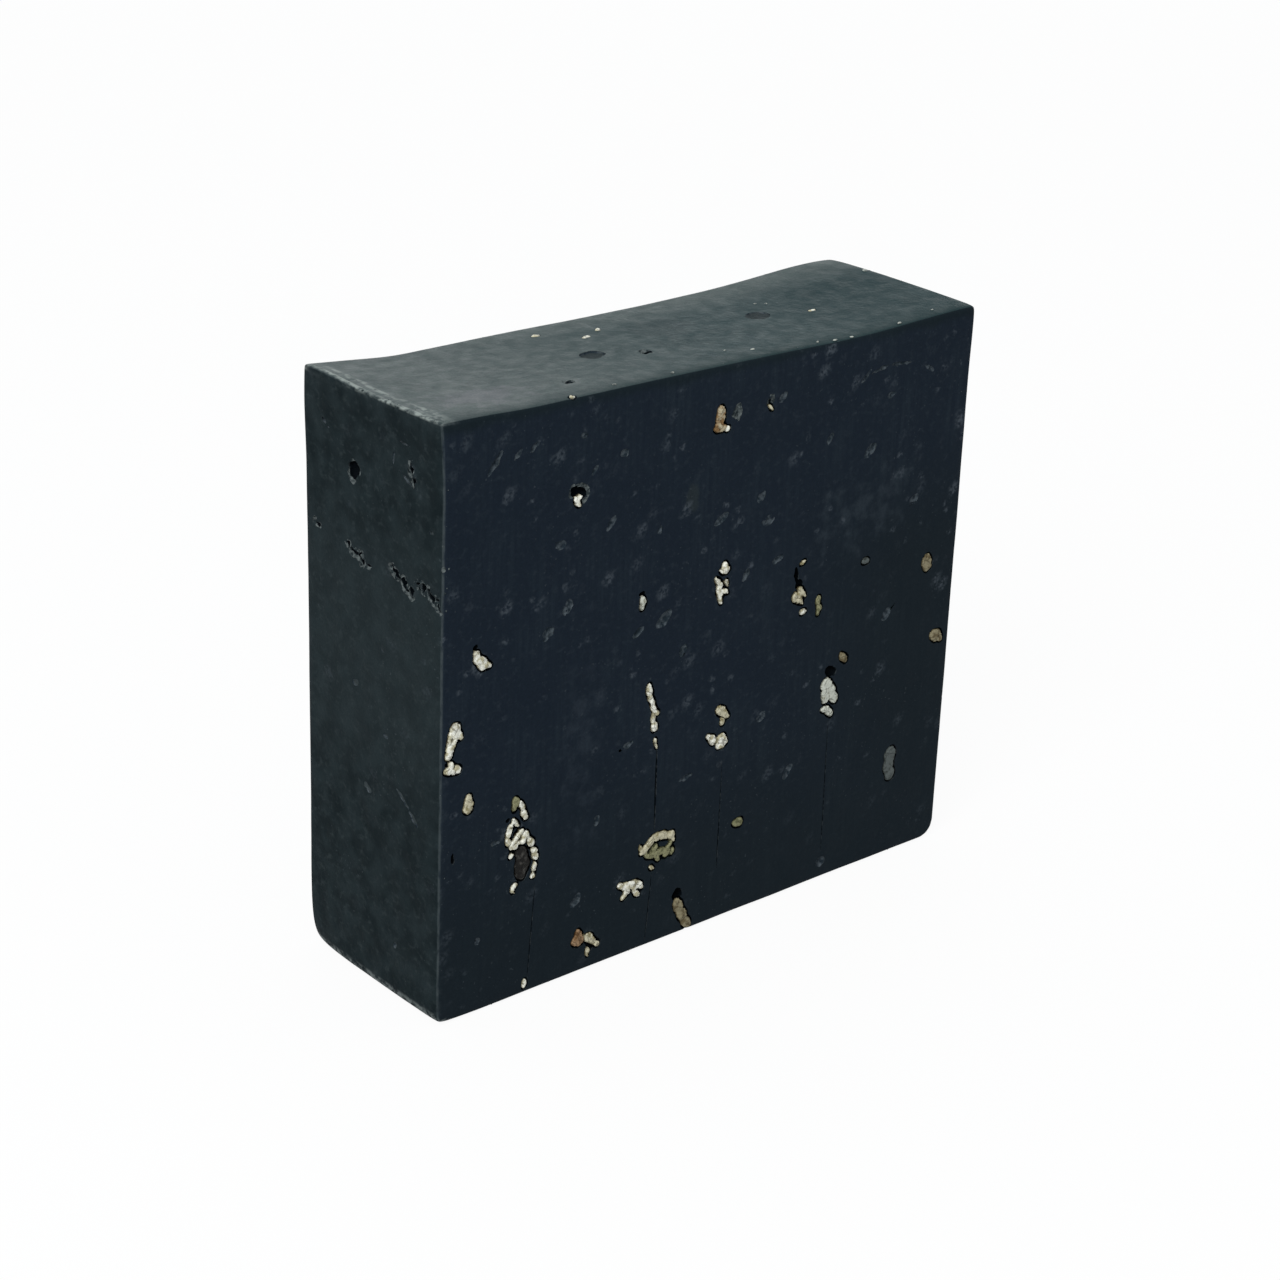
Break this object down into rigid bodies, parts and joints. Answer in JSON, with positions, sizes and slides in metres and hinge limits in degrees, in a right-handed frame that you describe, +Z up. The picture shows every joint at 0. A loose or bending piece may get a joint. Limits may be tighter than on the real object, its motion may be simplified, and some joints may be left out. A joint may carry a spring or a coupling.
{
  "type": "soap bar",
  "caption": "Hand-cut rectangular bar of charcoal-black soap with rolled-oat flakes, standing on its narrow mould-bottom side, with wire-cut faces and a slightly dished poured top.",
  "frame": {"origin": "centre of the base, which is the narrow side that lay on the mould's floor", "axes": "+X across the loaf from the left mould wall to the right one, the longest extent; +Y from the front cut face to the back one, the slice's thickness; +Z up to the poured top"},
  "size_m": [0.0805, 0.0254, 0.0712],
  "materials": {
    "charcoal_soap": "satin",
    "oat_white": "matte",
    "oat_cream": "matte",
    "oat_amber": "matte",
    "oat_olive": "matte",
    "oat_bran": "matte"
  },
  "bodies": {
    "root": {"soap_bar": "charcoal_soap", "oat_amber_bead": "oat_amber", "oat_amber_cap": "oat_amber", "oat_back_arch": "oat_cream", "oat_back_bead": "oat_amber", "oat_back_bran": "oat_bran", "oat_back_chip": "oat_white", "oat_back_comma": "oat_white", "oat_back_crumb": "oat_white", "oat_back_flake": "oat_cream", "oat_back_lobe": "oat_cream", "oat_back_low": "oat_cream", "oat_back_sliver": "oat_white", "oat_base_edge": "oat_cream", "oat_base_speck": "oat_white", "oat_bran_bead": "oat_bran", "oat_club_foot": "oat_white", "oat_club_top": "oat_white", "oat_cluster_bran": "oat_bran", "oat_cluster_chain": "oat_white", "oat_cluster_middle": "oat_white", "oat_cluster_tail": "oat_white", "oat_cluster_top": "oat_white", "oat_column_foot": "oat_white", "oat_column_kite": "oat_white", "oat_comma": "oat_white", "oat_crab_left": "oat_white", "oat_crab_right": "oat_white", "oat_far_lower": "oat_cream", "oat_far_upper": "oat_cream", "oat_far_veiled": "oat_olive", "oat_large_foot": "oat_white", "oat_large_white": "oat_white", "oat_lobe_left": "oat_white", "oat_lobe_right": "oat_white", "oat_long_sliver": "oat_white", "oat_mid_speck": "oat_cream", "oat_olive_sliver": "oat_olive", "oat_pair_flake": "oat_white", "oat_pair_hull": "oat_olive", "oat_pit_rim": "oat_white", "oat_ribbed_arch": "oat_cream", "oat_ribbed_crumb": "oat_cream", "oat_ribbed_flake": "oat_olive", "oat_sliver_drop": "oat_white", "oat_tan_flake": "oat_amber", "oat_tan_tail": "oat_amber", "oat_tear_tail": "oat_white", "oat_teardrop": "oat_cream", "oat_top_centre": "oat_amber", "oat_top_crumb": "oat_white", "oat_top_skin_left": "oat_white", "oat_top_skin_middle": "oat_white", "oat_top_skin_right": "oat_white", "oat_top_speck": "oat_cream", "oat_under_tear": "oat_cream", "oat_upper_dash": "oat_white"}
  },
  "joints": []
}
